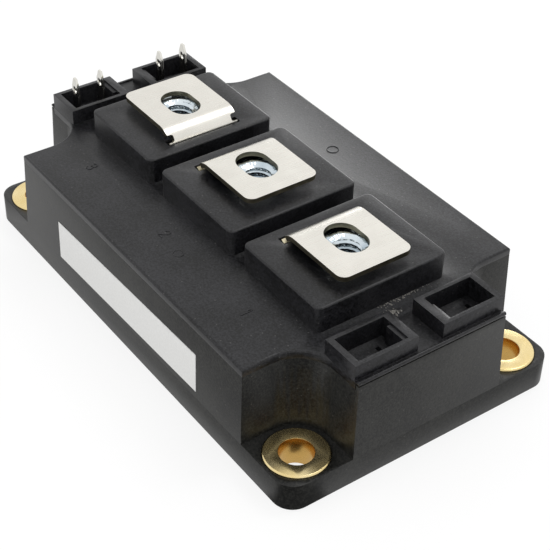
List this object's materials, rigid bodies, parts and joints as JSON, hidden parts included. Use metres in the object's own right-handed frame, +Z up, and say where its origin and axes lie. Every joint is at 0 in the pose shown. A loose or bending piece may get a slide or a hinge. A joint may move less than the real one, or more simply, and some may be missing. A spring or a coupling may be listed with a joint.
{
  "type": "power transistor module",
  "caption": "Screw-down power transistor module in a dark moulded case, with raised blocks carrying screw terminals and keyed sockets with signal tabs.",
  "frame": {"origin": "centre of the outer box's bottom face, on the mounting surface", "axes": "+X along the row of screw terminals towards the empty sockets, +Y across the case away from the label, +Z up from the heat sink"},
  "size_m": [0.1066, 0.0617, 0.0306],
  "materials": {
    "case_plastic": "fine textured black thermoplastic",
    "lid_plastic": "fine textured black thermoplastic",
    "base_copper": "dull nickel plating over copper",
    "bushing_steel": "yellow passivated zinc",
    "terminal_plate": "satin tin plating over copper",
    "tab_plate": "satin tin plating",
    "nut_zinc": "blue passivated zinc",
    "ceramic": "unglazed alumina",
    "copper": "bare copper",
    "silicon": "metallised chip",
    "bond_aluminium": "rolled ribbon",
    "gel": "clear soft silicone",
    "label_paper": "plain matt label"
  },
  "bodies": {
    "root": {"base_plate": "base_copper", "case_frame": "case_plastic", "lid": "lid_plastic", "bushing_1": "bushing_steel", "bushing_2": "bushing_steel", "bushing_3": "bushing_steel", "bushing_4": "bushing_steel", "nut_1": "nut_zinc", "nut_2": "nut_zinc", "nut_3": "nut_zinc", "terminal_1": "terminal_plate", "terminal_2": "terminal_plate", "terminal_3": "terminal_plate", "tab_1": "tab_plate", "tab_2": "tab_plate", "tab_3": "tab_plate", "tab_4": "tab_plate", "ceramic_1": "ceramic", "ceramic_2": "ceramic", "back_copper_1": "copper", "back_copper_2": "copper", "front_copper_1": "copper", "front_copper_2": "copper", "igbt_chips": "silicon", "diode_chips": "silicon", "bond_ribbons": "bond_aluminium", "silicone_gel": "gel", "label": "label_paper"}
  },
  "joints": []
}
